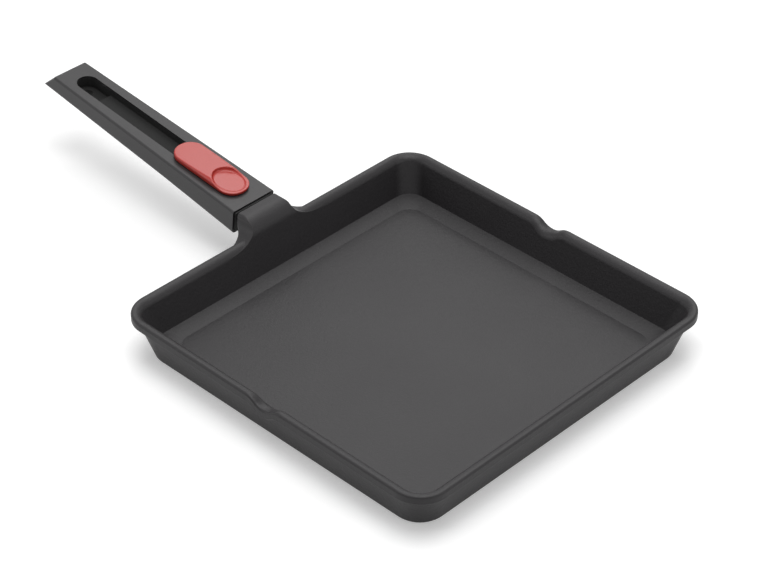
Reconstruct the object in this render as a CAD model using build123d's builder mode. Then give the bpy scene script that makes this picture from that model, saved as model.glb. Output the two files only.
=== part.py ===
from build123d import *
from math import atan2, cos, radians, sin
import os

# Square griddle pan with a lift-off handle. Millimetres, +Z up.
# The origin is the middle of the pan's base, on the hob. The handle points along -X.

# Pan: sides across, heights above the hob and radii
RIM_SIDE = 280.0
RIM_CORNER_R = 22.0
RIM_Z = 34.5
LIP_HEIGHT = 6.6
LIP_PROUD = 4.5
LIP_EDGE_R = 1.6
LIP_UNDER_BEVEL = 1.0
BASE_CORNER_R = 19.0
BASE_BEVEL = 1.6
WALL_T = 4.2
WALL_DRAFT = 6.5
INNER_DRAFT = 6.0
FLOOR_T = 6.0
FLOOR_CORNER_R = 12.0
BAND_RISE = 3.0
BAND_WIDTH = 11.3
FLARE_R = 6.0
SPOUT_WIDTH = 31.0
SPOUT_DEPTH = 5.0

# Neck, cast with the pan
NECK_REACH = 15.8
NECK_RISE = 11.7
NECK_INSET = 0.8
NECK_GAP = 3.2
NECK_FLARE_OUT = 16.0
NECK_FLARE_ALONG = 24.0
NECK_FADE = 5.0
NECK_SHOULDER_R = 2.5
NECK_BROW_R = 14.0

# Handle: it rises away from the pan at this angle and ends in a raked cut
HANDLE_RISE = 6.47
HANDLE_LEN = 210.0
HANDLE_RAKE = 12.5
HANDLE_HALF_NEAR = 19.4
HANDLE_HALF_MID = 18.0
HANDLE_HALF_FAR = 15.2
HANDLE_MID_AT = 75.0
HANDLE_T_NEAR = 19.6
HANDLE_T_MID = 16.4
HANDLE_T_FAR = 13.4
HANDLE_END_R = 2.5
HANDLE_TOP_R = 1.6
HANDLE_UNDER_R = 3.0
SHELL_WALL = 2.6
SHELL_TOP_T = 4.0

# Slot in the handle's top, its floor and the hanging hole
SLOT_HALF_W = 8.2
SLOT_START = 14.0
SLOT_END_LAND = 12.5
SLOT_DEPTH = 6.2
SLOT_FLOOR_T = 1.4
SLOT_FLOOR_AT = 79.5
WELL_LEN = 24.0
WELL_DEPTH = 9.6
HANG_HOLE_R = 4.0

# Cover under the handle, and the posts that its screws go into
COVER_T = 1.6
COVER_INSET = 1.6
COVER_SEAT_T = 0.6
POST_R = 2.4
POST_END_GAP = 6.2

# Slider: a cap on a carriage that runs in the slot
SLIDER_TRAVEL = 12.0
CAP_START = 10.3
CAP_LEN = 66.4
CAP_HALF_W = 12.0
CAP_CORNER_R = 11.4
CAP_EDGE_R = 1.2
CAP_TOP = 5.0
CAP_TAIL_TOP = 3.6
CAP_DECK_LEN = 22.0
CAP_DECK_TOP = 2.3
SCOOP_R = 12.0
STEM_START = 16.0
STEM_LEN = 50.0
STEM_WEB = 2.0
WING_HALF_W = 12.4
WING_T = 1.8
LEG_START = 34.0
LEG_W = 4.4

# Tongue, latch and springs
TONGUE_HALF_W = 7.0
TONGUE_T = 3.7
TONGUE_TOP = 8.2
TONGUE_IN_NECK = 11.4
TONGUE_LEN = 36.0
WINDOW_START = 17.0
WINDOW_LEN = 9.0
WINDOW_HALF_W = 5.0
TONGUE_TIP_R = 2.5
TONGUE_SEAT_T = 3.5
BLADE_HALF_W = 4.4
BLADE_T = 0.8
BLADE_LIFT_GAP = 0.4
BLADE_SLOPE_AT = 44.0
BLADE_SLOPE_LEN = 14.0
BLADE_END = 90.0
TOOTH_DROP = 3.4
PIN_R = 1.0
PIN_AT = 41.0
CHASSIS_START = 8.5
CHASSIS_END = 110.0
CHASSIS_T = 1.0
CHASSIS_STOP_AT = 95.0
BOSS_R = 2.6
BOSS_END_GAP = 7.0
SPRING_R = 1.85
SPRING_WIRE_R = 0.3
SPRING_TURNS = 5
SPRING_WIRE_SIDES = 4
ROD_R = 1.0
PLATE_T = 1.2
PLATE_INSET = 1.6
HOLD_CLEAR = 0.4

# Screws and rivets: shank radius and head radius
SCREW_R = 1.25
SCREW_HEAD_R = 2.4
SCREW_HEAD_T = 1.2
TONGUE_SCREW_R = 2.0
TONGUE_SCREW_HEAD_R = 3.6
RIVET_R = 1.2
RIVET_HEAD_R = 2.2
RIVET_HEAD_T = 0.6
RIVET_END_GAP = 8.0
RIVET_PITCH = 14.0
SLIDER_SCREW_END_GAP = 6.0
SLIDER_SCREW_PITCH = 16.0
SLIDER_SCREW_REACH = 1.6

# Clearances
SLIDE_GAP = 0.3
SEAT_GAP = 0.05

# Values that follow from the sizes above
WALL_SIDE = RIM_SIDE - 2 * LIP_PROUD
LIP_Z = RIM_Z - LIP_HEIGHT
LIP_MID_Z = RIM_Z - (LIP_HEIGHT + SPOUT_DEPTH) / 2
WALL_CORNER_R = RIM_CORNER_R - LIP_PROUD
BASE_SIDE = WALL_SIDE - 2 * WALL_DRAFT
INNER_CORNER_R = WALL_CORNER_R - WALL_T
BAND_Z = FLOOR_T + BAND_RISE
BAND_SIDE = WALL_SIDE - 2 * (WALL_T + INNER_DRAFT)
FLOOR_SIDE = BAND_SIDE - 2 * BAND_WIDTH
FLARE_Z = RIM_Z - FLARE_R
DRAFT = atan2(INNER_DRAFT, LIP_Z - BAND_Z)
RISE = radians(HANDLE_RISE)
HANDLE_START = RIM_SIDE / 2 + NECK_REACH
HANDLE_TOP_Z = RIM_Z + NECK_RISE
NECK_HALF_W = HANDLE_HALF_NEAR - NECK_INSET
NECK_TOP_Z = HANDLE_TOP_Z - NECK_GAP * sin(RISE)
NECK_END = HANDLE_START - NECK_GAP * cos(RISE)
NECK_LOW_Z = NECK_TOP_Z - HANDLE_T_NEAR + NECK_INSET
NECK_SPREAD = NECK_HALF_W + NECK_FLARE_ALONG
NECK_ROOT_Z = RIM_Z - 2 * LIP_EDGE_R
NECK_BROW_Z = NECK_TOP_Z - NECK_BROW_R * (1 - sin(DRAFT))
SLOT_END = HANDLE_LEN - HANDLE_RAKE - SLOT_END_LAND
WELL_START = SLOT_END - WELL_LEN
CAVITY_END = WELL_START - SHELL_WALL
COVER_END = CAVITY_END + SHELL_WALL / 2
CHASSIS_TOP = TONGUE_TOP + TONGUE_T + SLIDE_GAP
SHELL_FLOOR = SLOT_DEPTH + SLOT_FLOOR_T
SPRING_ACROSS = TONGUE_HALF_W + SLIDE_GAP + LEG_W / 2 + HOLD_CLEAR
CHASSIS_HALF = SPRING_ACROSS + LEG_W / 2 + SLIDE_GAP
POSTS_AT = (CHASSIS_END + POST_END_GAP, CAVITY_END - POST_END_GAP)
CHASSIS_SCREW_AT = CHASSIS_END - BOSS_END_GAP
CHASSIS_SCREW_PLACES = [(CHASSIS_SCREW_AT, 0)]
RIVET_AT = BLADE_END - RIVET_END_GAP
RIVET_PLACES = [(RIVET_AT - RIVET_PITCH, 0), (RIVET_AT, 0)]
TONGUE_MID = TONGUE_TOP + TONGUE_T / 2
MOUTH_SCREW_ACROSS = (TONGUE_HALF_W + HANDLE_HALF_NEAR) / 2
MOUTH_SCREW_PLACES = [(MOUTH_SCREW_ACROSS, -TONGUE_MID), (-MOUTH_SCREW_ACROSS, -TONGUE_MID)]
TONGUE_ROOT = -NECK_GAP - TONGUE_IN_NECK
TONGUE_SCREW_AT = -NECK_GAP - TONGUE_IN_NECK / 2
TONGUE_SCREW_ACROSS = TONGUE_SCREW_HEAD_R + SLIDE_GAP
TONGUE_SCREW_PLACES = [
    (TONGUE_SCREW_AT, TONGUE_SCREW_ACROSS), (TONGUE_SCREW_AT, -TONGUE_SCREW_ACROSS)
]
TONGUE_SCREW_SEAT = TONGUE_TOP + TONGUE_T + TONGUE_SEAT_T
WING_TOP = SHELL_TOP_T + SLIDE_GAP
CAP_UNDER = SLIDE_GAP + HOLD_CLEAR / 4
LEG_LOW = CHASSIS_TOP - SLIDE_GAP
SLIDER_SCREW_AT = STEM_START + STEM_LEN - SLIDER_SCREW_END_GAP
SLIDER_SCREW_PLACES = [(SLIDER_SCREW_AT - SLIDER_SCREW_PITCH, 0), (SLIDER_SCREW_AT, 0)]
BLADE_UNDER = TONGUE_TOP - BLADE_LIFT_GAP
PIN_DEPTH = BLADE_UNDER + PIN_R + SLIDE_GAP
TOOTH_AT = WINDOW_START + SLIDE_GAP
TOOTH_LEN = WINDOW_LEN - 4 * SLIDE_GAP
SPRING_DEPTH = CHASSIS_TOP - SPRING_R - SPRING_WIRE_R - SLIDE_GAP
SPRING_PLACES = [(SPRING_ACROSS, -SPRING_DEPTH), (-SPRING_ACROSS, -SPRING_DEPTH)]
SPRING_FROM = STEM_START + STEM_LEN + SLIDE_GAP
SPRING_LEN = CHASSIS_STOP_AT - SLIDE_GAP - SPRING_FROM
ROD_TIP = SPRING_FROM + SLIDER_TRAVEL + SLIDE_GAP

handle_top = Plane(
    origin=(-HANDLE_START, 0, HANDLE_TOP_Z),
    x_dir=(-cos(RISE), 0, sin(RISE)),
    z_dir=(sin(RISE), 0, cos(RISE)),
)


def down(depth):
    """Plane parallel to the handle's top; x runs to its free end."""
    return handle_top.offset(-depth)


def side(across=0.0):
    """Plane along the handle, seen from the side; x along it, y up from its top."""
    origin = Vector(-HANDLE_START, across, HANDLE_TOP_Z)
    return Plane(origin=origin, x_dir=handle_top.x_dir, z_dir=(0, 1, 0))


def cross(along):
    """Plane square to the handle at this distance from its mouth."""
    origin = handle_top.origin + handle_top.x_dir * along
    return Plane(origin=origin, x_dir=(0, -1, 0), z_dir=handle_top.x_dir)


def finish(builder, name):
    """Label a finished piece and write its file."""
    builder.part.label = name
    export_step(builder.part, f"parts/{name}.step")


def dip_line(z):
    """Edge with the spout's dip, from left to right at height z."""
    half = SPOUT_WIDTH / 2
    far = RIM_SIDE
    Line((-far, z), (-half, z))
    TangentArc((-half, z), (-half / 2, z - SPOUT_DEPTH / 2), tangent=(1, 0))
    ThreePointArc(
        (-half / 2, z - SPOUT_DEPTH / 2), (0, z - SPOUT_DEPTH), (half / 2, z - SPOUT_DEPTH / 2)
    )
    TangentArc((half, z), (half / 2, z - SPOUT_DEPTH / 2), tangent=(-1, 0))
    Line((half, z), (far, z))


def inner_side(z):
    """Side of the square hollow at this height; its walls lean outwards going up."""
    return BAND_SIDE + 2 * INNER_DRAFT * (z - BAND_Z) / (LIP_Z - BAND_Z)


def reach(edge):
    """How far an edge gets from the middle of the pan, along X or Y."""
    box = edge.bounding_box()
    return max(abs(box.min.X), abs(box.max.X), abs(box.min.Y), abs(box.max.Y))


def flat_run(edge):
    """True for an edge that runs round the pan, not up or down its corner."""
    box = edge.bounding_box()
    return max(box.size.X, box.size.Y) > LIP_EDGE_R


os.makedirs("parts", exist_ok=True)

# Lip band round the rim, cut to a ribbon that dips at both spouts
with BuildPart() as lip_band:
    with BuildSketch(Plane.XY.offset(LIP_Z - SPOUT_DEPTH)):
        RectangleRounded(RIM_SIDE, RIM_SIDE, RIM_CORNER_R)
    extrude(amount=LIP_HEIGHT + SPOUT_DEPTH)
    with BuildSketch(Plane.XZ) as ribbon:
        with BuildLine():
            dip_line(RIM_Z)
            dip_line(LIP_Z)
            Line((-RIM_SIDE, RIM_Z), (-RIM_SIDE, LIP_Z))
            Line((RIM_SIDE, RIM_Z), (RIM_SIDE, LIP_Z))
        make_face()
    extrude(amount=RIM_SIDE, both=True, mode=Mode.INTERSECT)

# Pan shell before the neck: outside walls, lip, hollow and spouts
with BuildPart() as pan_shell:
    foot = (0, BASE_SIDE - 2 * BASE_BEVEL, BASE_CORNER_R - BASE_BEVEL)
    ankle = (BASE_BEVEL, BASE_SIDE, BASE_CORNER_R)
    collar = (LIP_Z, WALL_SIDE, WALL_CORNER_R)
    for stretch in ((foot, ankle), (ankle, collar)):
        for z, across, corner in stretch:
            with BuildSketch(Plane.XY.offset(z)):
                RectangleRounded(across, across, corner)
        loft(ruled=True)
    with BuildSketch(Plane.XY.offset(LIP_Z)):
        RectangleRounded(WALL_SIDE, WALL_SIDE, WALL_CORNER_R)
    extrude(amount=LIP_HEIGHT)
    with BuildSketch(Plane.XZ):
        with BuildLine():
            dip_line(RIM_Z)
            Polyline(
                (RIM_SIDE, RIM_Z), (RIM_SIDE, RIM_Z + LIP_HEIGHT), (-RIM_SIDE, RIM_Z + LIP_HEIGHT),
                (-RIM_SIDE, RIM_Z),
            )
        make_face()
    extrude(amount=RIM_SIDE, both=True, mode=Mode.SUBTRACT)
    add(lip_band.part)
    # Hollow: flat floor, sloping band round it, wall, straight stretch under the flare
    with BuildSketch(Plane.XY.offset(FLOOR_T)):
        RectangleRounded(FLOOR_SIDE, FLOOR_SIDE, FLOOR_CORNER_R)
    with BuildSketch(Plane.XY.offset(BAND_Z)):
        RectangleRounded(BAND_SIDE, BAND_SIDE, INNER_CORNER_R)
    loft(ruled=True, mode=Mode.SUBTRACT)
    for z in (BAND_Z, RIM_Z + LIP_HEIGHT):
        with BuildSketch(Plane.XY.offset(z)):
            RectangleRounded(inner_side(z), inner_side(z), INNER_CORNER_R)
    loft(ruled=True, mode=Mode.SUBTRACT)
    # Flare of the rim's inner edge and rounding of the lip's outer edges
    rim_edges = pan_shell.edges().filter_by(lambda e: e.center().Z > FLARE_Z)
    fillet(rim_edges.filter_by(lambda e: reach(e) < inner_side(RIM_Z) / 2 + SEAT_GAP), FLARE_R)
    outer_edges = pan_shell.edges().filter_by(lambda e: reach(e) > RIM_SIDE / 2 - SEAT_GAP)
    round_edges = outer_edges.filter_by(lambda e: flat_run(e))
    fillet(round_edges.filter_by(lambda e: e.center().Z > LIP_MID_Z), LIP_EDGE_R)
    outer_edges = pan_shell.edges().filter_by(lambda e: reach(e) > RIM_SIDE / 2 - SEAT_GAP)
    round_edges = outer_edges.filter_by(lambda e: flat_run(e))
    chamfer(round_edges.filter_by(lambda e: e.center().Z < LIP_Z + SEAT_GAP), LIP_UNDER_BEVEL)


# Neck: its outline from the side, cut by its outlines from above and from the handle's end
with BuildPart() as neck:
    with BuildSketch(Plane.XZ.offset(-NECK_SPREAD)):
        with BuildLine():
            brow = (-inner_side(NECK_BROW_Z) / 2, NECK_BROW_Z)
            crest = (brow[0] - NECK_BROW_R * cos(DRAFT), NECK_TOP_Z)
            TangentArc(brow, crest, tangent=(-sin(DRAFT), cos(DRAFT)))
            Polyline(
                crest, (-NECK_END, NECK_TOP_Z),
                (-NECK_END + (NECK_TOP_Z - NECK_LOW_Z) * sin(RISE), NECK_LOW_Z),
                (-WALL_SIDE / 2 + WALL_T / 2, NECK_LOW_Z - NECK_FADE),
                (-inner_side(FLARE_Z) / 2, FLARE_Z), brow,
            )
        make_face()
    extrude(amount=2 * NECK_SPREAD)
    with BuildSketch(Plane.XY):
        with BuildLine():
            for way in (1, -1):
                Line((-BAND_SIDE / 2, way * NECK_SPREAD), (-RIM_SIDE / 2, way * NECK_SPREAD))
                EllipticalCenterArc(
                    (-RIM_SIDE / 2 - NECK_FLARE_OUT, way * NECK_SPREAD), NECK_FLARE_OUT,
                    NECK_FLARE_ALONG, start_angle=135 * (1 + way), arc_size=90,
                )
            for across in (-RIM_SIDE / 2 - NECK_FLARE_OUT, -BAND_SIDE / 2):
                half = NECK_HALF_W if across < -RIM_SIDE / 2 else NECK_SPREAD
                Line((across, -half), (across, half))
        make_face()
    extrude(amount=2 * NECK_TOP_Z, mode=Mode.INTERSECT)
    with BuildSketch(Plane.YZ):
        with BuildLine():
            shoulder_z = NECK_TOP_Z - NECK_SHOULDER_R
            top_half = NECK_HALF_W - NECK_SHOULDER_R
            Line((-top_half, NECK_TOP_Z), (top_half, NECK_TOP_Z))
            for way in (1, -1):
                TangentArc(
                    (way * top_half, NECK_TOP_Z), (way * NECK_HALF_W, shoulder_z), tangent=(way, 0)
                )
                EllipticalCenterArc(
                    (way * NECK_SPREAD, shoulder_z), NECK_FLARE_ALONG, shoulder_z - NECK_ROOT_Z,
                    start_angle=225 - 45 * way, arc_size=90,
                )
            Polyline(
                (NECK_SPREAD, NECK_ROOT_Z), (NECK_SPREAD, 0), (-NECK_SPREAD, 0),
                (-NECK_SPREAD, NECK_ROOT_Z),
            )
        make_face()
    extrude(amount=RIM_SIDE, both=True, mode=Mode.INTERSECT)

with BuildPart() as pan_body:
    add(pan_shell.part)
    add(neck.part)
    # Pocket for the tongue and holes for its screws, from below
    with BuildSketch(down(TONGUE_TOP + TONGUE_T + SEAT_GAP)):
        with Locations((TONGUE_ROOT - SEAT_GAP, 0)):
            Rectangle(
                TONGUE_IN_NECK + NECK_GAP, 2 * (TONGUE_HALF_W + SEAT_GAP),
                align=(Align.MIN, Align.CENTER),
            )
    extrude(amount=TONGUE_T + 2 * SEAT_GAP, mode=Mode.SUBTRACT)
    with BuildSketch(down(TONGUE_SCREW_SEAT)):
        with Locations(*TONGUE_SCREW_PLACES):
            Circle(TONGUE_SCREW_HEAD_R + SEAT_GAP)
    extrude(amount=-HANDLE_T_NEAR, mode=Mode.SUBTRACT)
    with BuildSketch(down(TONGUE_SCREW_SEAT)):
        with Locations(*TONGUE_SCREW_PLACES):
            Circle(TONGUE_SCREW_R)
    extrude(amount=TONGUE_SCREW_SEAT - TONGUE_TOP, mode=Mode.SUBTRACT)
finish(pan_body, "pan_body")


def half_width(along):
    """Half the handle's width at this distance from its mouth."""
    if along <= HANDLE_MID_AT:
        return HANDLE_HALF_NEAR + (HANDLE_HALF_MID - HANDLE_HALF_NEAR) * along / HANDLE_MID_AT
    share = (along - HANDLE_MID_AT) / (HANDLE_LEN - HANDLE_MID_AT)
    return HANDLE_HALF_MID + (HANDLE_HALF_FAR - HANDLE_HALF_MID) * share


def thickness(along):
    """Handle thickness, square to its top, at this distance from its mouth."""
    if along <= HANDLE_MID_AT:
        return HANDLE_T_NEAR + (HANDLE_T_MID - HANDLE_T_NEAR) * along / HANDLE_MID_AT
    share = (along - HANDLE_MID_AT) / (HANDLE_LEN - HANDLE_MID_AT)
    return HANDLE_T_MID + (HANDLE_T_FAR - HANDLE_T_MID) * share


def plan_outline(start, end, inset):
    """Closed outline of the handle seen from above, this far inside its sides."""
    near, mid, far = half_width(start) - inset, HANDLE_HALF_MID - inset, half_width(end) - inset
    Polyline(
        (start, -near), (HANDLE_MID_AT, -mid), (end, -far), (end, far), (HANDLE_MID_AT, mid),
        (start, near), close=True,
    )


def cover_top(along):
    """Depth of the cover's inner face below the handle's top."""
    return thickness(along) - COVER_T


# Handle's moulded outside: rounded sections, a kink in its taper and a raked end
with BuildPart() as handle_block:
    for stretch in ((0, HANDLE_MID_AT), (HANDLE_MID_AT, HANDLE_LEN)):
        for along in stretch:
            with BuildSketch(cross(along)):
                wide, tall = half_width(along), thickness(along)
                with BuildLine():
                    Polyline((-wide, 0), (wide, 0), (wide, -tall), (-wide, -tall), close=True)
                make_face()
                fillet(vertices().group_by(Axis.Y)[0], HANDLE_UNDER_R)
                fillet(vertices().group_by(Axis.Y)[-1], HANDLE_TOP_R)
        loft(ruled=True)
    with BuildSketch(handle_top):
        top_end = HANDLE_LEN - HANDLE_RAKE
        end_half = half_width(top_end)
        with BuildLine():
            Polyline(
                (top_end, end_half), (-HANDLE_LEN, 2 * HANDLE_HALF_NEAR),
                (-HANDLE_LEN, -2 * HANDLE_HALF_NEAR), (top_end, -end_half), close=True,
            )
        make_face()
        fillet(vertices().filter_by(lambda v: v.X > 0), HANDLE_END_R)
    rake = handle_top.x_dir * HANDLE_RAKE - handle_top.z_dir * HANDLE_T_FAR
    extrude(amount=2 * HANDLE_T_NEAR, dir=rake, mode=Mode.INTERSECT)

# Handle shell: hollow from below, slot on top, well with the hanging hole
with BuildPart() as handle_shell:
    add(handle_block.part)
    # Hollow from below
    with BuildSketch(side(-HANDLE_HALF_NEAR)):
        with BuildLine():
            Polyline(
                (SHELL_WALL, -SHELL_TOP_T), (SLOT_FLOOR_AT, -SHELL_TOP_T),
                (SLOT_FLOOR_AT, -SHELL_FLOOR), (CAVITY_END, -SHELL_FLOOR),
                (CAVITY_END, -2 * HANDLE_T_NEAR), (SHELL_WALL, -2 * HANDLE_T_NEAR), close=True,
            )
        make_face()
    cavity = extrude(amount=2 * HANDLE_HALF_NEAR, mode=Mode.PRIVATE)
    with BuildSketch(down(2 * HANDLE_T_NEAR), mode=Mode.PRIVATE) as inner_plan:
        with BuildLine():
            plan_outline(0, CAVITY_END, SHELL_WALL)
        make_face()
    inner = extrude(inner_plan.sketch, amount=2 * HANDLE_T_NEAR, mode=Mode.PRIVATE)
    add(cavity & inner, mode=Mode.SUBTRACT)
    # Rebate for the cover
    with BuildSketch(down(2 * HANDLE_T_NEAR), mode=Mode.PRIVATE) as cover_plan:
        with BuildLine():
            plan_outline(0, COVER_END, COVER_INSET)
        make_face()
    rebate_plan = extrude(cover_plan.sketch, amount=2 * HANDLE_T_NEAR, mode=Mode.PRIVATE)
    with BuildSketch(side(-HANDLE_HALF_NEAR)):
        with BuildLine():
            Polyline(
                (COVER_INSET, -cover_top(COVER_INSET)), (HANDLE_MID_AT, -cover_top(HANDLE_MID_AT)),
                (COVER_END, -cover_top(COVER_END)), (COVER_END, -2 * HANDLE_T_NEAR),
                (COVER_INSET, -2 * HANDLE_T_NEAR), close=True,
            )
        make_face()
    rebate = extrude(amount=2 * HANDLE_HALF_NEAR, mode=Mode.PRIVATE)
    add(rebate & rebate_plan, mode=Mode.SUBTRACT)
    # Slot, open to the mechanism in front, with a deeper well at its end
    for start, depth in ((SLOT_START, SLOT_DEPTH), (WELL_START, WELL_DEPTH)):
        with BuildSketch(down(depth)):
            with Locations((start, 0)):
                Rectangle(
                    SLOT_END - SLOT_HALF_W - start, 2 * SLOT_HALF_W, align=(Align.MIN, Align.CENTER)
                )
            with Locations((SLOT_END - SLOT_HALF_W, 0)):
                Circle(SLOT_HALF_W)
        extrude(amount=depth, mode=Mode.SUBTRACT)
    with BuildSketch(down(2 * HANDLE_T_NEAR)):
        with Locations((SLOT_END - SLOT_HALF_W, 0)):
            Circle(HANG_HOLE_R)
    extrude(amount=2 * HANDLE_T_NEAR, mode=Mode.SUBTRACT)
    # Opening for the tongue in the mouth
    with BuildSketch(cross(0)):
        with Locations((0, -TONGUE_MID)):
            Rectangle(2 * (TONGUE_HALF_W + SLIDE_GAP), TONGUE_T + 2 * SLIDE_GAP)
    extrude(amount=SHELL_WALL, mode=Mode.SUBTRACT)
    # Posts for the cover's screws and bosses for the chassis, sunk into the slot's floor
    for along in POSTS_AT:
        with BuildSketch(down(cover_top(along + POST_R) - SEAT_GAP)):
            with Locations((along, 0)):
                Circle(POST_R)
        extrude(amount=cover_top(along + POST_R) - SHELL_FLOOR)
        with BuildSketch(down(2 * HANDLE_T_NEAR)):
            with Locations((along, 0)):
                Circle(SCREW_R)
        extrude(amount=2 * HANDLE_T_NEAR - SHELL_FLOOR, mode=Mode.SUBTRACT)
    with BuildSketch(down(CHASSIS_TOP)):
        with Locations(*CHASSIS_SCREW_PLACES):
            Circle(BOSS_R)
    extrude(amount=CHASSIS_TOP - SHELL_FLOOR + SEAT_GAP)
    with BuildSketch(down(CHASSIS_TOP)):
        with Locations(*CHASSIS_SCREW_PLACES):
            Circle(SCREW_R)
    extrude(amount=CHASSIS_TOP - SHELL_FLOOR, mode=Mode.SUBTRACT)
    with BuildSketch(cross(0)):
        with Locations(*MOUTH_SCREW_PLACES):
            Circle(SCREW_R)
    extrude(amount=SHELL_WALL, mode=Mode.SUBTRACT)
finish(handle_shell, "handle_shell")

# Cover under the handle: it fills the shell's rebate and follows the outside's roundings
with BuildPart() as handle_cover:
    with BuildSketch(side(-HANDLE_HALF_NEAR)):
        with BuildLine():
            Polyline(
                (COVER_INSET + SEAT_GAP, -cover_top(COVER_INSET)),
                (HANDLE_MID_AT, -cover_top(HANDLE_MID_AT)),
                (COVER_END - SEAT_GAP, -cover_top(COVER_END)),
                (COVER_END - SEAT_GAP, -2 * HANDLE_T_NEAR),
                (COVER_INSET + SEAT_GAP, -2 * HANDLE_T_NEAR), close=True,
            )
        make_face()
    extrude(amount=2 * HANDLE_HALF_NEAR)
    with BuildSketch(down(2 * HANDLE_T_NEAR)):
        with BuildLine():
            plan_outline(0, COVER_END, COVER_INSET + SEAT_GAP)
        make_face()
    extrude(amount=2 * HANDLE_T_NEAR, mode=Mode.INTERSECT)
    add(handle_block.part, mode=Mode.INTERSECT)
    for along in POSTS_AT:
        with BuildSketch(down(cover_top(along) + COVER_SEAT_T)):
            with Locations((along, 0)):
                Circle(SCREW_HEAD_R + SEAT_GAP)
        extrude(amount=-COVER_T, mode=Mode.SUBTRACT)
        with BuildSketch(down(cover_top(along) + COVER_SEAT_T)):
            with Locations((along, 0)):
                Circle(SCREW_R + SEAT_GAP)
        extrude(amount=COVER_T, mode=Mode.SUBTRACT)
finish(handle_cover, "handle_cover")

# Screws of the cover
with BuildPart() as cover_screws:
    for along in POSTS_AT:
        seat = cover_top(along) + COVER_SEAT_T
        with BuildSketch(down(seat)):
            with Locations((along, 0)):
                Circle(SCREW_HEAD_R)
        extrude(amount=-SCREW_HEAD_T / 2)
        with BuildSketch(down(seat)):
            with Locations((along, 0)):
                Circle(SCREW_R - SEAT_GAP)
        extrude(amount=seat - SHELL_FLOOR - SEAT_GAP)
finish(cover_screws, "cover_screws")

# Steel channel that guides the tongue, with the stop of the springs
with BuildPart() as latch_chassis:
    with BuildSketch(down(CHASSIS_TOP)):
        with Locations((CHASSIS_START, 0)):
            Rectangle(
                CHASSIS_END - CHASSIS_START, 2 * (CHASSIS_HALF + CHASSIS_T),
                align=(Align.MIN, Align.CENTER),
            )
    extrude(amount=-CHASSIS_T)
    with BuildSketch(down(CHASSIS_TOP)):
        for way in (1, -1):
            with Locations((CHASSIS_START, way * (CHASSIS_HALF + CHASSIS_T / 2))):
                Rectangle(
                    CHASSIS_STOP_AT + CHASSIS_T - CHASSIS_START, CHASSIS_T,
                    align=(Align.MIN, Align.CENTER),
                )
        with Locations((CHASSIS_STOP_AT, 0)):
            Rectangle(CHASSIS_T, 2 * CHASSIS_HALF, align=(Align.MIN, Align.CENTER))
    extrude(amount=CHASSIS_TOP - SHELL_FLOOR - SEAT_GAP)
    with BuildSketch(down(CHASSIS_TOP + CHASSIS_T)):
        with Locations(*CHASSIS_SCREW_PLACES, *RIVET_PLACES):
            Circle(SCREW_R)
    extrude(amount=CHASSIS_T, mode=Mode.SUBTRACT)
    with BuildSketch(cross(CHASSIS_STOP_AT)):
        with Locations(*SPRING_PLACES):
            Circle(ROD_R)
    extrude(amount=CHASSIS_T, mode=Mode.SUBTRACT)
finish(latch_chassis, "latch_chassis")

with BuildPart() as chassis_screws:
    with BuildSketch(down(CHASSIS_TOP + CHASSIS_T)):
        with Locations(*CHASSIS_SCREW_PLACES):
            Circle(SCREW_HEAD_R)
    extrude(amount=-RIVET_HEAD_T)
    with BuildSketch(down(CHASSIS_TOP + CHASSIS_T)):
        with Locations(*CHASSIS_SCREW_PLACES):
            Circle(SCREW_R - SEAT_GAP)
    extrude(amount=CHASSIS_TOP + CHASSIS_T - SHELL_FLOOR - SEAT_GAP)
finish(chassis_screws, "chassis_screws")

# Plate over the handle's mouth
with BuildPart() as mouth_plate:
    with BuildSketch(cross(-PLATE_T)):
        wide, tall = HANDLE_HALF_NEAR - PLATE_INSET, HANDLE_T_NEAR - PLATE_INSET
        with BuildLine():
            Polyline(
                (-wide, -PLATE_INSET), (wide, -PLATE_INSET), (wide, -tall), (-wide, -tall), close=True
            )
        make_face()
        fillet(vertices(), HANDLE_TOP_R)
        with Locations((0, -TONGUE_MID)):
            Rectangle(
                2 * (TONGUE_HALF_W + SLIDE_GAP), TONGUE_T + 2 * SLIDE_GAP, mode=Mode.SUBTRACT
            )
        with Locations(*MOUTH_SCREW_PLACES):
            Circle(SCREW_R, mode=Mode.SUBTRACT)
    extrude(amount=PLATE_T)
finish(mouth_plate, "mouth_plate")

with BuildPart() as mouth_screws:
    with BuildSketch(cross(-PLATE_T)):
        with Locations(*MOUTH_SCREW_PLACES):
            Circle(SCREW_HEAD_R)
    extrude(amount=-SCREW_HEAD_T)
    with BuildSketch(cross(-PLATE_T)):
        with Locations(*MOUTH_SCREW_PLACES):
            Circle(SCREW_R - SEAT_GAP)
    extrude(amount=PLATE_T + SHELL_WALL)
finish(mouth_screws, "mouth_screws")

# Tongue of the neck, with the window that the latch drops into
with BuildPart() as neck_tongue:
    with BuildSketch(down(TONGUE_TOP + TONGUE_T)):
        with Locations((TONGUE_ROOT, 0)):
            Rectangle(TONGUE_LEN - TONGUE_ROOT, 2 * TONGUE_HALF_W, align=(Align.MIN, Align.CENTER))
        with Locations((WINDOW_START, 0)):
            Rectangle(
                WINDOW_LEN, 2 * WINDOW_HALF_W, align=(Align.MIN, Align.CENTER), mode=Mode.SUBTRACT
            )
        with Locations(*TONGUE_SCREW_PLACES):
            Circle(TONGUE_SCREW_R, mode=Mode.SUBTRACT)
        tip = vertices().group_by(Axis.X)[-1]
        fillet(tip, TONGUE_TIP_R)
    extrude(amount=TONGUE_T)
finish(neck_tongue, "neck_tongue")

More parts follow.
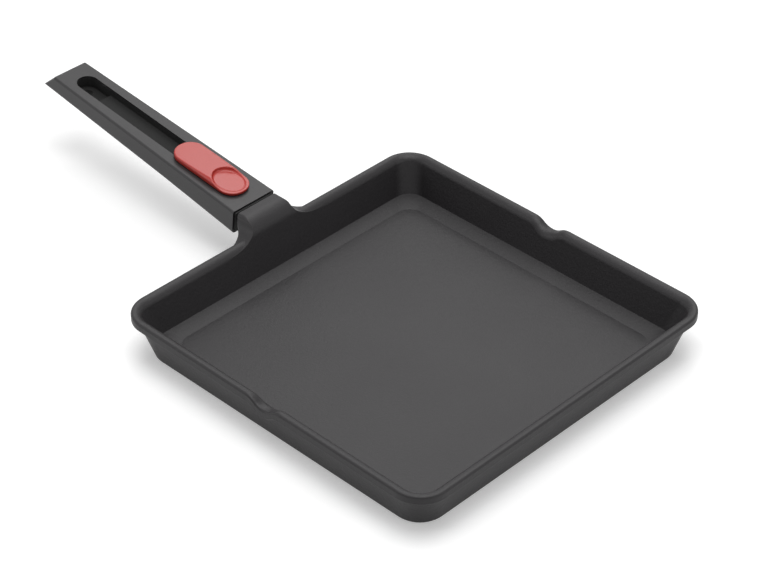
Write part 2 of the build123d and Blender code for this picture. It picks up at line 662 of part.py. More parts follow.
with BuildPart() as tongue_screws:
    with BuildSketch(down(TONGUE_SCREW_SEAT)):
        with Locations(*TONGUE_SCREW_PLACES):
            Circle(TONGUE_SCREW_HEAD_R)
    extrude(amount=-TONGUE_SCREW_R)
    with BuildSketch(down(TONGUE_SCREW_SEAT)):
        with Locations(*TONGUE_SCREW_PLACES):
            Circle(TONGUE_SCREW_R - SEAT_GAP)
    extrude(amount=TONGUE_SCREW_SEAT - TONGUE_TOP)
finish(tongue_screws, "tongue_screws")

# Carriage under the slider: stem in the slot, wings below the top, legs beside the tongue
with BuildPart() as slider_carriage:
    with BuildSketch(down(WING_TOP + WING_T)):
        with Locations((STEM_START, 0)):
            Rectangle(STEM_LEN, 2 * WING_HALF_W, align=(Align.MIN, Align.CENTER))
    extrude(amount=WING_T)
    with BuildSketch(down(WING_TOP)):
        with Locations((STEM_START, 0)):
            Rectangle(STEM_LEN, 2 * (SLOT_HALF_W - SLIDE_GAP), align=(Align.MIN, Align.CENTER))
    extrude(amount=WING_TOP + CAP_UNDER)
    with BuildSketch(down(LEG_LOW)):
        for way in (1, -1):
            with Locations((LEG_START, way * SPRING_ACROSS)):
                Rectangle(STEM_START + STEM_LEN - LEG_START, LEG_W, align=(Align.MIN, Align.CENTER))
    extrude(amount=LEG_LOW - WING_TOP)
    # Room for the latch to lift
    with BuildSketch(down(WING_TOP + WING_T)):
        with Locations((STEM_START - SLIDE_GAP, 0)):
            Rectangle(
                2 * STEM_LEN, 2 * (BLADE_HALF_W + 2 * SLIDE_GAP), align=(Align.MIN, Align.CENTER)
            )
    extrude(amount=WING_TOP + WING_T + CAP_UNDER - STEM_WEB, mode=Mode.SUBTRACT)
    with BuildSketch(cross(STEM_START + STEM_LEN)):
        with Locations(*SPRING_PLACES):
            Circle(ROD_R + SLIDE_GAP)
    extrude(amount=-SLIDER_TRAVEL - SLIDE_GAP, mode=Mode.SUBTRACT)
    with BuildSketch(side(-WING_HALF_W)):
        with Locations((PIN_AT, -PIN_DEPTH)):
            Circle(PIN_R)
    extrude(amount=2 * WING_HALF_W, mode=Mode.SUBTRACT)
    with BuildSketch(down(-CAP_UNDER)):
        with Locations(*SLIDER_SCREW_PLACES):
            Circle(SCREW_R)
    extrude(amount=-STEM_WEB, mode=Mode.SUBTRACT)
finish(slider_carriage, "slider_carriage")

with BuildPart() as lift_pin:
    with BuildSketch(side(-SPRING_ACROSS - LEG_W / 2)):
        with Locations((PIN_AT, -PIN_DEPTH)):
            Circle(PIN_R - SEAT_GAP / 2)
    extrude(amount=2 * SPRING_ACROSS + LEG_W)
finish(lift_pin, "lift_pin")

# Slider cap: rounded ends, a pad that rises to the step, a scoop and a low deck for the thumb
with BuildPart() as slider_button:
    with BuildSketch(down(-CAP_UNDER)):
        with Locations((CAP_START + CAP_LEN / 2, 0)):
            RectangleRounded(CAP_LEN, 2 * CAP_HALF_W, CAP_CORNER_R)
    extrude(amount=CAP_TOP - CAP_UNDER)
    with BuildSketch(side(-CAP_HALF_W)):
        with BuildLine():
            step_at = CAP_START + CAP_DECK_LEN
            Polyline(
                (0, CAP_DECK_TOP), (step_at, CAP_DECK_TOP), (step_at + CAP_EDGE_R, CAP_TOP),
                (CAP_START + CAP_LEN, CAP_TAIL_TOP), (CAP_START + CAP_LEN, 2 * CAP_TOP),
                (0, 2 * CAP_TOP), close=True,
            )
        make_face()
    extrude(amount=2 * CAP_HALF_W, mode=Mode.SUBTRACT)
    tops = slider_button.faces().filter_by(lambda f: f.normal_at().dot(handle_top.z_dir) > cos(RISE))
    fillet(tops.sort_by(Axis(handle_top.origin, handle_top.x_dir))[-1].edges(), CAP_EDGE_R)
    scoop_middle = down(-CAP_DECK_TOP - SCOOP_R).from_local_coords(Vector(step_at, 0, 0))
    with Locations(scoop_middle):
        Sphere(SCOOP_R, mode=Mode.SUBTRACT)
    with BuildSketch(down(-CAP_UNDER)):
        with Locations(*SLIDER_SCREW_PLACES):
            Circle(SCREW_R)
    extrude(amount=SLIDER_SCREW_REACH, mode=Mode.SUBTRACT)
finish(slider_button, "slider_button")

with BuildPart() as slider_screws:
    with BuildSketch(down(STEM_WEB - CAP_UNDER)):
        with Locations(*SLIDER_SCREW_PLACES):
            Circle(SCREW_HEAD_R)
    extrude(amount=-RIVET_HEAD_T)
    with BuildSketch(down(STEM_WEB - CAP_UNDER)):
        with Locations(*SLIDER_SCREW_PLACES):
            Circle(SCREW_R - SEAT_GAP)
    extrude(amount=STEM_WEB + SLIDER_SCREW_REACH - SEAT_GAP)
finish(slider_screws, "slider_screws")

# Latch blade: tooth in the window, flat over the lift pin, slope, flat on the chassis
with BuildPart() as latch_blade:
    with BuildSketch(side(-BLADE_HALF_W)):
        low, high = -CHASSIS_TOP, -BLADE_UNDER
        with BuildLine():
            Polyline(
                (TOOTH_AT, high), (TOOTH_AT, high - TOOTH_DROP), (TOOTH_AT + TOOTH_LEN, high - TOOTH_DROP),
                (TOOTH_AT + TOOTH_LEN, high), (BLADE_SLOPE_AT, high),
                (BLADE_SLOPE_AT + BLADE_SLOPE_LEN, low), (BLADE_END, low), (BLADE_END, low + BLADE_T),
                (BLADE_SLOPE_AT + BLADE_SLOPE_LEN + BLADE_T / 2, low + BLADE_T),
                (BLADE_SLOPE_AT + BLADE_T / 2, high + BLADE_T), (TOOTH_AT, high + BLADE_T), close=True,
            )
        make_face()
    extrude(amount=2 * BLADE_HALF_W)
    with BuildSketch(down(CHASSIS_TOP)):
        with Locations(*RIVET_PLACES):
            Circle(SCREW_R)
    extrude(amount=BLADE_T, mode=Mode.SUBTRACT)
finish(latch_blade, "latch_blade")

with BuildPart() as latch_rivets:
    with BuildSketch(down(CHASSIS_TOP - BLADE_T)):
        with Locations(*RIVET_PLACES):
            Circle(RIVET_HEAD_R)
    extrude(amount=RIVET_HEAD_T)
    with BuildSketch(down(CHASSIS_TOP + CHASSIS_T)):
        with Locations(*RIVET_PLACES):
            Circle(RIVET_R)
    extrude(amount=CHASSIS_T + BLADE_T)
    with BuildSketch(down(CHASSIS_TOP + CHASSIS_T)):
        with Locations(*RIVET_PLACES):
            Circle(RIVET_HEAD_R)
    extrude(amount=-RIVET_HEAD_T)
finish(latch_rivets, "latch_rivets")

# Springs and the rods that carry them, left and right
for name, across in (("left", SPRING_ACROSS), ("right", -SPRING_ACROSS)):
    with BuildPart() as spring_rod:
        with BuildSketch(cross(ROD_TIP)):
            with Locations((across, -SPRING_DEPTH)):
                Circle(ROD_R - SEAT_GAP)
        extrude(amount=CHASSIS_STOP_AT + CHASSIS_T - ROD_TIP)
    finish(spring_rod, f"spring_rod_{name}")
    middle = cross(SPRING_FROM).from_local_coords(Vector(across, -SPRING_DEPTH, 0))
    with BuildPart() as return_spring:
        with BuildLine() as coil:
            Helix(
                SPRING_LEN / SPRING_TURNS, SPRING_LEN, SPRING_R, center=middle,
                direction=handle_top.x_dir,
            )
        with BuildSketch(Plane(origin=coil.line @ 0, z_dir=coil.line % 0)):
            RegularPolygon(SPRING_WIRE_R, SPRING_WIRE_SIDES)
        sweep(is_frenet=True)
    finish(return_spring, f"return_spring_{name}")
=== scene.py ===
# %% [markdown]
# # A square griddle pan with a lift-off handle
#
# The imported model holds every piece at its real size. This lesson dresses it: it sets the
# camera and the light, gives every surface its finish, and models what is too fine for the
# solids. The pan stands with the middle of its base at the origin, and the handle runs along -X.

import math

import bpy
from mathutils import Matrix, Vector


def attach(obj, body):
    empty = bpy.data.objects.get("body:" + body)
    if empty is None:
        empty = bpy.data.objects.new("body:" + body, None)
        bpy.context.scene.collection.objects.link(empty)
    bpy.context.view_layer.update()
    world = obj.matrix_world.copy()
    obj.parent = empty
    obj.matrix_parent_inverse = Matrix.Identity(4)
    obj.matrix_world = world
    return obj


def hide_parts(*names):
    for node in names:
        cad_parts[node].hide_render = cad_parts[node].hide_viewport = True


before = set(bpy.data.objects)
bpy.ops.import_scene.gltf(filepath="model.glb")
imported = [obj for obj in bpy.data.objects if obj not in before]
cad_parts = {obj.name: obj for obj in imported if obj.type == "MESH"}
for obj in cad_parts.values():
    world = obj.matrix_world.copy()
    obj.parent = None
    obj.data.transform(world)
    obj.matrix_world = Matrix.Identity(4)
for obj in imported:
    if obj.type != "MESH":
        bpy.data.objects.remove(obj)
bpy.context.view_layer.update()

# %% [markdown]
# ## Camera
#
# The view is a long lens from a little over the rim, turned so that one corner points at us.
# Its place was worked out from the pan's own corners, so it is written as a direction, a
# distance and a small sideways and upward step. A camera can be aimed at an empty with a
# constraint, but plain axes leave nothing to evaluate, so they are used here.

# %% Camera
VIEW_TURN = math.radians(44.398)
VIEW_RISE = math.radians(36.942)
VIEW_DISTANCE = 1.67245
VIEW_STEP_RIGHT = -0.02286
VIEW_STEP_UP = 0.03610
FRAME_WIDTH_PX = 768
FRAME_HEIGHT_PX = 576
FOCAL_PX = 2482.94
LENS_AXIS_PX = (380.32, 295.97)
SENSOR_MM = 36.0

view_back = Vector((
    math.sin(VIEW_TURN) * math.cos(VIEW_RISE),
    -math.cos(VIEW_TURN) * math.cos(VIEW_RISE),
    math.sin(VIEW_RISE),
))
view_right = Vector((math.cos(VIEW_TURN), math.sin(VIEW_TURN), 0.0))
view_up = view_back.cross(view_right)

camera_data = bpy.data.cameras.new("camera")
camera_data.sensor_width = SENSOR_MM
camera_data.lens = FOCAL_PX * SENSOR_MM / FRAME_WIDTH_PX
camera_data.shift_x = (FRAME_WIDTH_PX / 2 - LENS_AXIS_PX[0]) / FRAME_WIDTH_PX
camera_data.shift_y = (LENS_AXIS_PX[1] - FRAME_HEIGHT_PX / 2) / FRAME_WIDTH_PX
camera = bpy.data.objects.new("camera", camera_data)
turn = Matrix((view_right, view_up, view_back)).transposed()
camera.matrix_world = Matrix.Translation(
    view_back * VIEW_DISTANCE + view_right * VIEW_STEP_RIGHT + view_up * VIEW_STEP_UP
) @ turn.to_4x4()
bpy.context.scene.collection.objects.link(camera)
bpy.context.scene.camera = camera
print("lens", round(camera_data.lens, 1), "mm, at", [round(v, 3) for v in camera.location])

# %% [markdown]
# ## Shader helper
#
# A finish is a small sum of noises, masks and colours. Node trees can be drawn by hand, but a
# sum is easier to read as a sum: this class wraps one socket, and Python's own signs add the
# Math nodes. Its `node` method makes any other kind of node.

# %% Socket class
class Wire:
    """One output socket of a material, with signs that add Math nodes."""

    def __init__(self, material, socket):
        self.material = material
        self.socket = socket

    @staticmethod
    def node(material, kind, settings=None, inputs=None, output=0):
        """Add a node, set its properties, feed its inputs, and give back one output."""
        made = material.node_tree.nodes.new(kind)
        for name, value in (settings or {}).items():
            if name == "stops":
                Wire.fill_ramp(made.color_ramp, value)
            else:
                setattr(made, name, value)
        for name, value in (inputs or {}).items():
            Wire.feed(material, made.inputs[name], value)
        return Wire(material, made.outputs[output])

    @staticmethod
    def fill_ramp(ramp, stops):
        """Write the stops of a colour ramp as pairs of place and colour."""
        while len(ramp.elements) > 1:
            ramp.elements.remove(ramp.elements[-1])
        for index, (place, colour) in enumerate(stops):
            element = ramp.elements[0] if index == 0 else ramp.elements.new(place)
            element.position = place
            element.color = (*colour, 1.0) if len(colour) == 3 else colour

    @staticmethod
    def feed(material, socket, value):
        """Link a wire to a socket, or write a plain value on it."""
        if isinstance(value, Wire):
            material.node_tree.links.new(value.socket, socket)
        else:
            socket.default_value = value

    def maths(self, operation, other=0.0, swapped=False, clamp=False):
        """One Math node between this wire and another wire or number."""
        first, second = (other, self) if swapped else (self, other)
        return Wire.node(
            self.material, "ShaderNodeMath",
            {"operation": operation, "use_clamp": clamp}, {0: first, 1: second},
        )

    def __add__(self, other):
        return self.maths("ADD", other)

    def __radd__(self, other):
        return self.maths("ADD", other, swapped=True)

    def __sub__(self, other):
        return self.maths("SUBTRACT", other)

    def __rsub__(self, other):
        return self.maths("SUBTRACT", other, swapped=True)

    def __mul__(self, other):
        return self.maths("MULTIPLY", other)

    def __rmul__(self, other):
        return self.maths("MULTIPLY", other, swapped=True)

    def clamped(self):
        """The same value, kept between 0 and 1."""
        return self.maths("ADD", 0.0, clamp=True)

    def step(self, low, high):
        """0 under low, 1 over high, smooth between them."""
        return Wire.node(
            self.material, "ShaderNodeMapRange", {"interpolation_type": "SMOOTHSTEP"},
            {"Value": self, "From Min": low, "From Max": high, "To Min": 0.0, "To Max": 1.0},
        )

    def pick(self, low_colour, high_colour):
        """A colour between two colours, chosen by this wire."""
        return Wire.node(
            self.material, "ShaderNodeMix", {"data_type": "RGBA"},
            {0: self, 6: low_colour, 7: high_colour}, output=2,
        )


def new_material(name):
    """An empty node material with its Principled shader and its place on the object."""
    material = bpy.data.materials.new(name)
    material.use_nodes = True
    shader = next(n for n in material.node_tree.nodes if n.type == "BSDF_PRINCIPLED")
    place = Wire.node(material, "ShaderNodeTexCoord", output="Object")
    return material, shader, place


def noise(place, per_metre, detail=2.0, roughness=0.5):
    """Cloudy noise with this many cells in a metre."""
    return Wire.node(
        place.material, "ShaderNodeTexNoise", None,
        {"Vector": place, "Scale": per_metre, "Detail": detail, "Roughness": roughness},
        output="Fac",
    )


def bump(height, distance, strength=1.0, below=None):
    """Normal of a surface raised by a height wire, over this distance in metres."""
    inputs = {"Height": height, "Distance": distance, "Strength": strength}
    if below is not None:
        inputs["Normal"] = below
    return Wire.node(height.material, "ShaderNodeBump", None, inputs, output="Normal")


def set_shader(material, shader, **values):
    """Write or link values on the Principled shader; an underscore stands for a space."""
    for name, value in values.items():
        Wire.feed(material, shader.inputs[name.replace("_", " ")], value)


def dress(material, *nodes):
    """Give a CAD node this material in all its slots."""
    for name in nodes:
        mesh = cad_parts[name].data
        if not mesh.materials:
            mesh.materials.append(material)
        for index in range(len(mesh.materials)):
            mesh.materials[index] = material


print("shader helper ready")

# %% [markdown]
# ## Non-stick coating
#
# The pan is cast aluminium under a sprayed, dark grey coating. Seen close it is a fine orange
# peel with tiny pale grains, and it shines softly. The grains are a fine noise, pushed into
# dots by a steep step, and the peel is a low bump.

# %% Coating
COATING_DARK = (0.009, 0.008, 0.009, 1.0)
COATING_LIGHT = (0.022, 0.020, 0.022, 1.0)
GRAIN_PER_METRE = 800.0
PEEL_PER_METRE = 420.0


def make_coating():
    """Dark sprayed coating with fine grain and a soft shine."""
    material, shader, place = new_material("nonstick_coating")
    grain = noise(place, GRAIN_PER_METRE, detail=3.0, roughness=0.6)
    peel = noise(place, PEEL_PER_METRE, detail=2.0)
    cloud = noise(place, 14.0, detail=3.0)
    dots = grain.step(0.60, 0.72)
    colour = (0.6 * dots + 0.4 * cloud).clamped().pick(COATING_DARK, COATING_LIGHT)
    set_shader(
        material, shader,
        Base_Color=colour,
        Roughness=0.38 + 0.08 * cloud + 0.10 * grain,
        Normal=bump(peel + 0.8 * grain, 0.00012),
    )
    shader.inputs["Specular IOR Level"].default_value = 0.34
    return material


coating = make_coating()
dress(coating, "pan_body")
print("coating on", "pan_body")

# %% [markdown]
# ## Handle plastic
#
# The handle is a heat-proof thermoset moulding: black, and evenly grained from its mould. One
# even black would do, but its deep slot sits in shade and looks darker than its top. So painted
# shade darkens the colour with the depth under the top, read from the place on the object, and
# the roughness rises there too.

# %% Handle plastic
PLASTIC_DARK = (0.010, 0.009, 0.010, 1.0)
PLASTIC_LIGHT = (0.018, 0.017, 0.018, 1.0)
HANDLE_TOP_AT = (-0.1558, 0.0, 0.0462)
HANDLE_UP = (0.11268, 0.0, 0.99363)
# The near black painted deep in the slot as painted shade, and the depths where that shade starts
# and is full.
SLOT_PAINTED_SHADE = (0.003, 0.003, 0.003, 1.0)
SLOT_SHADE_FROM, SLOT_SHADE_BY = 0.0012, 0.0030
SLOT_EDGE_FROM, SLOT_EDGE_BY = 0.0084, 0.0088
SLOT_EXTRA_ROUGH = 0.36


def depth_under_top(place):
    """Metres below the flat top of the handle, along the line it is moulded."""
    from_top = Wire.node(
        place.material, "ShaderNodeVectorMath", {"operation": "SUBTRACT"},
        {0: HANDLE_TOP_AT, 1: place},
    )
    return Wire.node(
        place.material, "ShaderNodeVectorMath", {"operation": "DOT_PRODUCT"},
        {0: from_top, 1: HANDLE_UP}, output="Value",
    )


def make_plastic(name, dark, light, rough, grain_per_metre, depth, gloss=0.4, paint_slot_shade=False):
    """Moulded plastic with a fine grain of this depth in metres."""
    material, shader, place = new_material(name)
    grain = noise(place, grain_per_metre, detail=3.0, roughness=0.6)
    cloud = noise(place, 22.0)
    colour = (0.5 * grain + 0.5 * cloud).clamped().pick(dark, light)
    roughness = rough + 0.08 * cloud
    # Painted shade: deep in the slot the colour turns near black, and the roughness rises there
    # too.
    if paint_slot_shade:
        across = Wire.node(place.material, "ShaderNodeSeparateXYZ", None, {0: place}, output=1)
        under = depth_under_top(place).step(SLOT_SHADE_FROM, SLOT_SHADE_BY)
        beside = across.maths("ABSOLUTE").step(SLOT_EDGE_FROM, SLOT_EDGE_BY)
        slot_shade_and_rough = under * (1.0 - beside)
        colour = slot_shade_and_rough.pick(colour, SLOT_PAINTED_SHADE)
        roughness = roughness + SLOT_EXTRA_ROUGH * slot_shade_and_rough
    set_shader(
        material, shader, Base_Color=colour, Roughness=roughness, Normal=bump(grain, depth),
    )
    shader.inputs["Specular IOR Level"].default_value = gloss
    return material


handle_plastic = make_plastic(
    "handle_plastic", PLASTIC_DARK, PLASTIC_LIGHT, 0.40, 1300.0, 0.00006, paint_slot_shade=True,
)
inner_plastic = make_plastic("inner_plastic", PLASTIC_DARK, PLASTIC_LIGHT, 0.5, 900.0, 0.00003)
dress(handle_plastic, "handle_shell", "handle_cover")
dress(inner_plastic, "slider_carriage")
print("plastic on the handle, its cover and the carriage")

# %% [markdown]
# ## Red slider
#
# The slider is a satin red moulding, smoother than the handle, so that it mirrors the light
# behind it in a pale sheen. It is the same plastic finish with a red in it and a finer grain,
# so the same function makes it.

# %% Slider plastic
RED_DARK = (0.34, 0.016, 0.010, 1.0)
RED_LIGHT = (0.46, 0.030, 0.020, 1.0)
slider_plastic = make_plastic(
    "slider_plastic", RED_DARK, RED_LIGHT, 0.26, 900.0, 0.00002, gloss=0.5,
)
dress(slider_plastic, "slider_button")
print("red on the slider")

# %% [markdown]
# ## Steel
#
# The tongue, the latch, the screws and the springs are plain steel, brushed along the handle.

# %% Steel
def make_steel(name, colour, rough):
    """Brushed steel: long streaks along the handle, in colour and in roughness."""
    material, shader, place = new_material(name)
    stretched = Wire.node(
        material, "ShaderNodeMapping", None, {"Vector": place, "Scale": (0.08, 1.0, 1.0)},
    )
    streaks = noise(stretched, 2400.0, detail=2.0)
    dull = tuple(0.75 * part for part in colour[:3]) + (1.0,)
    set_shader(
        material, shader,
        Base_Color=streaks.pick(dull, colour),
        Metallic=1.0,
        Roughness=rough + 0.15 * streaks,
        Normal=bump(streaks, 0.00001),
    )
    return material


plain_steel = make_steel("plain_steel", (0.62, 0.61, 0.60, 1.0), 0.28)
spring_steel = make_steel("spring_steel", (0.42, 0.42, 0.44, 1.0), 0.24)
black_steel = make_plastic(
    "black_steel", (0.008, 0.008, 0.008, 1.0), (0.016, 0.016, 0.016, 1.0), 0.5, 700.0, 0.00002,
)
dress(
    plain_steel, "neck_tongue", "tongue_screws", "mouth_screws", "cover_screws", "latch_chassis",
    "chassis_screws", "slider_screws", "lift_pin", "latch_rivets", "spring_rod_left",
    "spring_rod_right",
)
dress(spring_steel, "latch_blade", "return_spring_left", "return_spring_right")
dress(black_steel, "mouth_plate")
print("steel on the tongue, latch, screws and springs")

# %% [markdown]
# ## The handle's own plane
#
# The handle rises 6.47 degrees to its free end, so a piece on it is easier to model flat: X
# along the handle from its mouth, Y across it, Z up from its top. This matrix then lays the
# finished mesh on the handle. The place goes into the mesh, and the object stays unturned.

# %% Lay a flat piece on the handle
MM = 0.001
HANDLE_ALONG = (-0.99363, 0.0, 0.11268)
on_handle = Matrix.Translation(HANDLE_TOP_AT) @ Matrix((
    HANDLE_ALONG, (0.0, -1.0, 0.0), HANDLE_UP,
)).transposed().to_4x4()


def lay_on_handle(piece):
    """Move a piece modelled flat at the origin to its place on the handle."""
    piece.data.transform(on_handle)
    piece.data.update()


def only(piece):
    """Make this piece the only selected and the active one."""
    bpy.ops.object.select_all(action="DESELECT")
    piece.select_set(True)
    bpy.context.view_layer.objects.active = piece


def pick_edges(piece, wanted):
    """In edit mode, select the edges whose two ends pass a test, and nothing else."""
    bpy.ops.object.mode_set(mode="OBJECT")
    mesh = piece.data
    for part in (mesh.vertices, mesh.edges, mesh.polygons):
        part.foreach_set("select", [False] * len(part))
    count = 0
    for edge in mesh.edges:
        ends = [mesh.vertices[i].co for i in edge.vertices]
        edge.select = bool(wanted(*ends))
        count += edge.select
    bpy.context.tool_settings.mesh_select_mode = (False, True, False)
    bpy.ops.object.mode_set(mode="EDIT")
    return count


def add_box(name, low, high):
    """A box between two corners in millimetres, at the origin of its own mesh."""
    bpy.ops.object.select_all(action="DESELECT")
    middle = [(a + b) / 2 * MM for a, b in zip(low, high)]
    size = [(b - a) * MM for a, b in zip(low, high)]
    bpy.ops.mesh.primitive_cube_add(size=1.0, location=middle, scale=size)
    piece = bpy.context.active_object
    piece.name = name
    bpy.ops.object.transform_apply(location=True, rotation=True, scale=True)
    return piece


def cut_with(piece, cutter, name):
    """Cut one piece with another and delete the cutter."""
    only(piece)
    cut = piece.modifiers.new(name, "BOOLEAN")
    cut.operation = "DIFFERENCE"
    cut.solver = "EXACT"
    cut.object = cutter
    bpy.ops.object.modifier_apply(modifier=name)
    bpy.data.objects.remove(cutter, do_unlink=True)


print("handle plane ready")

# %% [markdown]
# ## Slider cap
#
# The red cap is what the thumb pulls. It is one soft-edged moulding: a long pad, flat on top and
# falling off to its tail, a crescent wall where the thumb pushes, and a low dished deck in front
# with a thin rim. A cage of loops under a subdivision surface would take many tries to get the
# crescent right, so it is built as it would be in clay: a block with round ends, cut to a
# profile, then dished with an oval cutter that opens upwards. A voxel remesh and a little
# smoothing then round every edge at once, as the mould does. The top is left bare of any mark.

# %% Cap block
CAP_START_MM, CAP_END_MM = 10.3, 76.7
CAP_HALF_MM = 12.0
CAP_UNDER_MM, CAP_STEP_MM, CAP_TAIL_MM = 0.4, 5.0, 3.6
DECK_END_MM, HORN_END_MM = 22.0, 33.0
DECK_RIM_MM = 2.5
END_ROUND_MM, END_FACETS = 11.4, 14
TOP_ROUND_MM, TOP_FACETS = 2.2, 5


def round_edges(radius_mm, facets):
    """Round the selected edges to this radius."""
    bpy.ops.mesh.bevel(
        offset=radius_mm * MM, segments=facets, profile=0.5, affect="EDGES", clamp_overlap=False,
    )


cap = add_box(
    "slider_cap",
    (CAP_START_MM, -CAP_HALF_MM, CAP_UNDER_MM), (CAP_END_MM, CAP_HALF_MM, CAP_STEP_MM),
)
only(cap)
bpy.ops.object.mode_set(mode="EDIT")
upright = pick_edges(cap, lambda p, q: abs(p.z - q.z) > 2 * MM)
round_edges(END_ROUND_MM, END_FACETS)
print("upright edges rounded:", upright)

# %% Cap profile
CUTTER_OVER_MM, CUTTER_PAST_MM, CUTTER_HALF_MM = 12.0, 5.0, 15.0


def extrude_outline(name, points_mm, low_mm, high_mm):
    """Draw an outline in the XZ plane by extruding a vertex along it, and push it across."""
    bpy.ops.object.select_all(action="DESELECT")
    bpy.ops.mesh.primitive_plane_add(size=MM, location=(0, 0, 0))
    made = bpy.context.active_object
    made.name = name
    bpy.context.tool_settings.mesh_select_mode = (True, False, False)
    bpy.ops.object.mode_set(mode="EDIT")
    bpy.ops.mesh.select_all(action="SELECT")
    bpy.ops.mesh.merge(type="CENTER")
    x, z = points_mm[0]
    bpy.ops.transform.translate(value=(x * MM, low_mm * MM, z * MM))
    for (x0, z0), (x1, z1) in zip(points_mm, points_mm[1:]):
        bpy.ops.mesh.extrude_vertices_move(
            TRANSFORM_OT_translate={"value": ((x1 - x0) * MM, 0, (z1 - z0) * MM)}
        )
    bpy.ops.mesh.select_all(action="SELECT")
    bpy.ops.mesh.edge_face_add()
    bpy.ops.mesh.extrude_region_move(
        TRANSFORM_OT_translate={"value": (0, (high_mm - low_mm) * MM, 0)}
    )
    bpy.ops.mesh.select_all(action="SELECT")
    bpy.ops.mesh.normals_make_consistent(inside=False)
    bpy.ops.object.mode_set(mode="OBJECT")
    return made


tops = pick_edges(cap, lambda p, q: min(p.z, q.z) > (CAP_STEP_MM - 0.1) * MM)
round_edges(TOP_ROUND_MM, TOP_FACETS)
bpy.ops.object.mode_set(mode="OBJECT")
over_cap = extrude_outline("over_cap", (
    (CUTTER_PAST_MM, DECK_RIM_MM), (DECK_END_MM, DECK_RIM_MM),
    (DECK_END_MM + 4.0, DECK_RIM_MM + 0.5), (HORN_END_MM, CAP_STEP_MM),
    (HORN_END_MM + 1.0, CAP_STEP_MM + 0.02), (CAP_END_MM, CAP_TAIL_MM),
    (CAP_END_MM + CUTTER_PAST_MM, CAP_TAIL_MM - 0.2),
    (CAP_END_MM + CUTTER_PAST_MM, CUTTER_OVER_MM), (CUTTER_PAST_MM, CUTTER_OVER_MM),
), -CUTTER_HALF_MM, CUTTER_HALF_MM)
cut_with(cap, over_cap, "over_cap")
print("top edges rounded:", tops, "faces after the profile:", len(cap.data.polygons))

# %% Dish and crescent
DISH_AT_MM, DISH_ALONG_MM, DISH_ACROSS_MM = 24.8, 13.1, 10.7
DISH_FLOOR_MM, DISH_CUT_MM = 2.0, 6.0
DISH_OPENS = 1.10
DISH_ROUND_MM, DISH_FACETS = 1.4, 4

bpy.ops.object.select_all(action="DESELECT")
bpy.ops.mesh.primitive_cylinder_add(
    vertices=96, radius=1.0, depth=DISH_CUT_MM * MM,
    location=(DISH_AT_MM * MM, 0, (DISH_FLOOR_MM + DISH_CUT_MM / 2) * MM),
    scale=(DISH_ALONG_MM * MM, DISH_ACROSS_MM * MM, 1.0),
)
dish = bpy.context.active_object
bpy.ops.object.transform_apply(location=True, rotation=True, scale=True)
pick_edges(dish, lambda p, q: min(p.z, q.z) > 7.0 * MM)
bpy.ops.transform.resize(
    value=(DISH_OPENS, DISH_OPENS, 1.0),
    center_override=(DISH_AT_MM * MM, 0, (DISH_FLOOR_MM + DISH_CUT_MM) * MM),
)
pick_edges(dish, lambda p, q: max(p.z, q.z) < 2.5 * MM)
round_edges(DISH_ROUND_MM, DISH_FACETS)
bpy.ops.object.mode_set(mode="OBJECT")
cut_with(cap, dish, "dish")
print("dished, faces:", len(cap.data.polygons))

# %% Soften the cap as a mould does
CAP_CELL_MM = 0.30
CAP_EASE_STEPS = 7

only(cap)
voxels = cap.modifiers.new("voxels", "REMESH")
voxels.mode = "VOXEL"
voxels.voxel_size = CAP_CELL_MM * MM
voxels.use_smooth_shade = True
bpy.ops.object.modifier_apply(modifier="voxels")
soften = cap.modifiers.new("soften", "SMOOTH")
soften.factor = 0.5
soften.iterations = CAP_EASE_STEPS
bpy.ops.object.modifier_apply(modifier="soften")
lay_on_handle(cap)
cap.data.materials.append(slider_plastic)
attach(cap, "slider")
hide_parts("slider_button")
print("cap faces:", len(cap.data.polygons), "size mm:", [round(v / MM, 1) for v in cap.dimensions])

# %% [markdown]
# ## Floor and backdrop
#
# The object stands on a white sweep. Floor and world could be lit until they clip to white, but
# then they would flood the pan with light too. So both look white only to the rays that reach
# the eye directly, off a shiny surface or through a clear one, and the object itself is lit at
# a plain level. The floor keeps its own shading under the glow, so it still takes the shadow.

# %% Stage
FLOOR_COLOUR = (0.80, 0.80, 0.80, 1.0)
FLOOR_GLOW = 0.34
WORLD_LIGHT = 0.22
FLOOR_REACH = 6.0


def seen_ray(tree):
    """1 for rays from the eye, off a shiny surface or through a clear one, otherwise 0."""
    path = tree.nodes.new("ShaderNodeLightPath")
    seen = path.outputs["Is Camera Ray"]
    for kind in ("Is Glossy Ray", "Is Transmission Ray"):
        larger = tree.nodes.new("ShaderNodeMath")
        larger.operation = "MAXIMUM"
        tree.links.new(seen, larger.inputs[0])
        tree.links.new(path.outputs[kind], larger.inputs[1])
        seen = larger.outputs[0]
    return seen


def mix_for_seen(tree, unseen, seen, end):
    """Show one shader to seen rays and another to the rest."""
    mixed = tree.nodes.new("ShaderNodeMixShader")
    tree.links.new(seen_ray(tree), mixed.inputs["Fac"])
    tree.links.new(unseen, mixed.inputs[1])
    tree.links.new(seen, mixed.inputs[2])
    tree.links.new(mixed.outputs[0], end)


world = bpy.data.worlds.new("white_studio")
bpy.context.scene.world = world
world.use_nodes = True
sky = world.node_tree.nodes["Background"]
sky.inputs["Color"].default_value = (1.0, 1.0, 1.0, 1.0)
sky.inputs["Strength"].default_value = WORLD_LIGHT
white_sky = world.node_tree.nodes.new("ShaderNodeBackground")
white_sky.inputs["Color"].default_value = (1.0, 1.0, 1.0, 1.0)
white_sky.inputs["Strength"].default_value = 1.0
mix_for_seen(
    world.node_tree, sky.outputs[0], white_sky.outputs[0],
    world.node_tree.nodes["World Output"].inputs["Surface"],
)

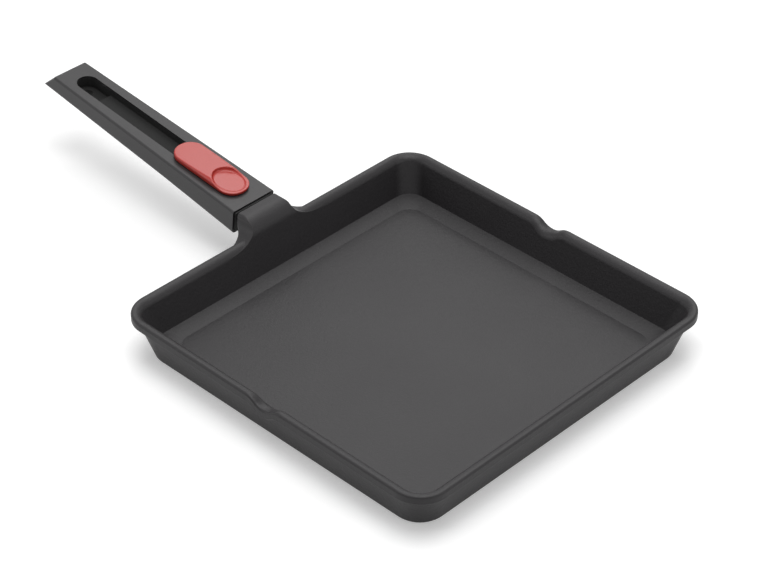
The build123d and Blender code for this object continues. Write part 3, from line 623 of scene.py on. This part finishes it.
bpy.ops.object.select_all(action="DESELECT")
bpy.ops.mesh.primitive_plane_add(size=FLOOR_REACH, location=(0, 0, -0.0002))
floor = bpy.context.active_object
floor.name = "floor"
floor_material = bpy.data.materials.new("white_sweep")
floor_material.use_nodes = True
floor_tree = floor_material.node_tree
floor_paint = floor_tree.nodes["Principled BSDF"]
floor_paint.inputs["Base Color"].default_value = FLOOR_COLOUR
floor_paint.inputs["Roughness"].default_value = 0.9
floor_paint.inputs["Specular IOR Level"].default_value = 0.0
floor_glow = floor_tree.nodes.new("ShaderNodeEmission")
floor_glow.inputs["Strength"].default_value = FLOOR_GLOW
floor_bright = floor_tree.nodes.new("ShaderNodeAddShader")
floor_tree.links.new(floor_paint.outputs[0], floor_bright.inputs[0])
floor_tree.links.new(floor_glow.outputs[0], floor_bright.inputs[1])
mix_for_seen(
    floor_tree, floor_paint.outputs[0], floor_bright.outputs[0],
    floor_tree.nodes["Material Output"].inputs["Surface"],
)
floor.data.materials.append(floor_material)
print("white floor and world")

# %% [markdown]
# ## Lights
#
# The pan is dark and satin, so it is drawn by what it mirrors more than by the light that falls
# on it. A wide box overhead gives the plain light. A second one stands behind the handle, where
# the tops of the handle and of its slider mirror it towards us. Two small ones lift the sides.

# %% Lights
def softbox(name, place, aim, width, height, watts):
    """A rectangular area light at a place, turned to face a point."""
    data = bpy.data.lights.new(name, "AREA")
    data.shape = "RECTANGLE"
    data.size = width
    data.size_y = height
    data.energy = watts
    light = bpy.data.objects.new(name, data)
    light.location = place
    light.rotation_euler = (Vector(aim) - Vector(place)).to_track_quat("-Z", "Y").to_euler()
    bpy.context.scene.collection.objects.link(light)
    return light


softbox("top_box", (0.1, -0.1, 2.2), (0, 0, 0), 1.6, 1.6, 36.0)
softbox("back_box", (-1.0, 1.2, 1.65), (-0.2, 0, 0), 1.0, 1.0, 11.0)
softbox("left_box", (-1.6, -1.4, 0.9), (0, 0, 0), 0.9, 0.9, 5.0)
softbox("right_box", (1.8, 0.6, 0.9), (0, 0, 0), 0.9, 0.9, 4.0)
bpy.context.scene.view_settings.view_transform = "Standard"
print("four softboxes")
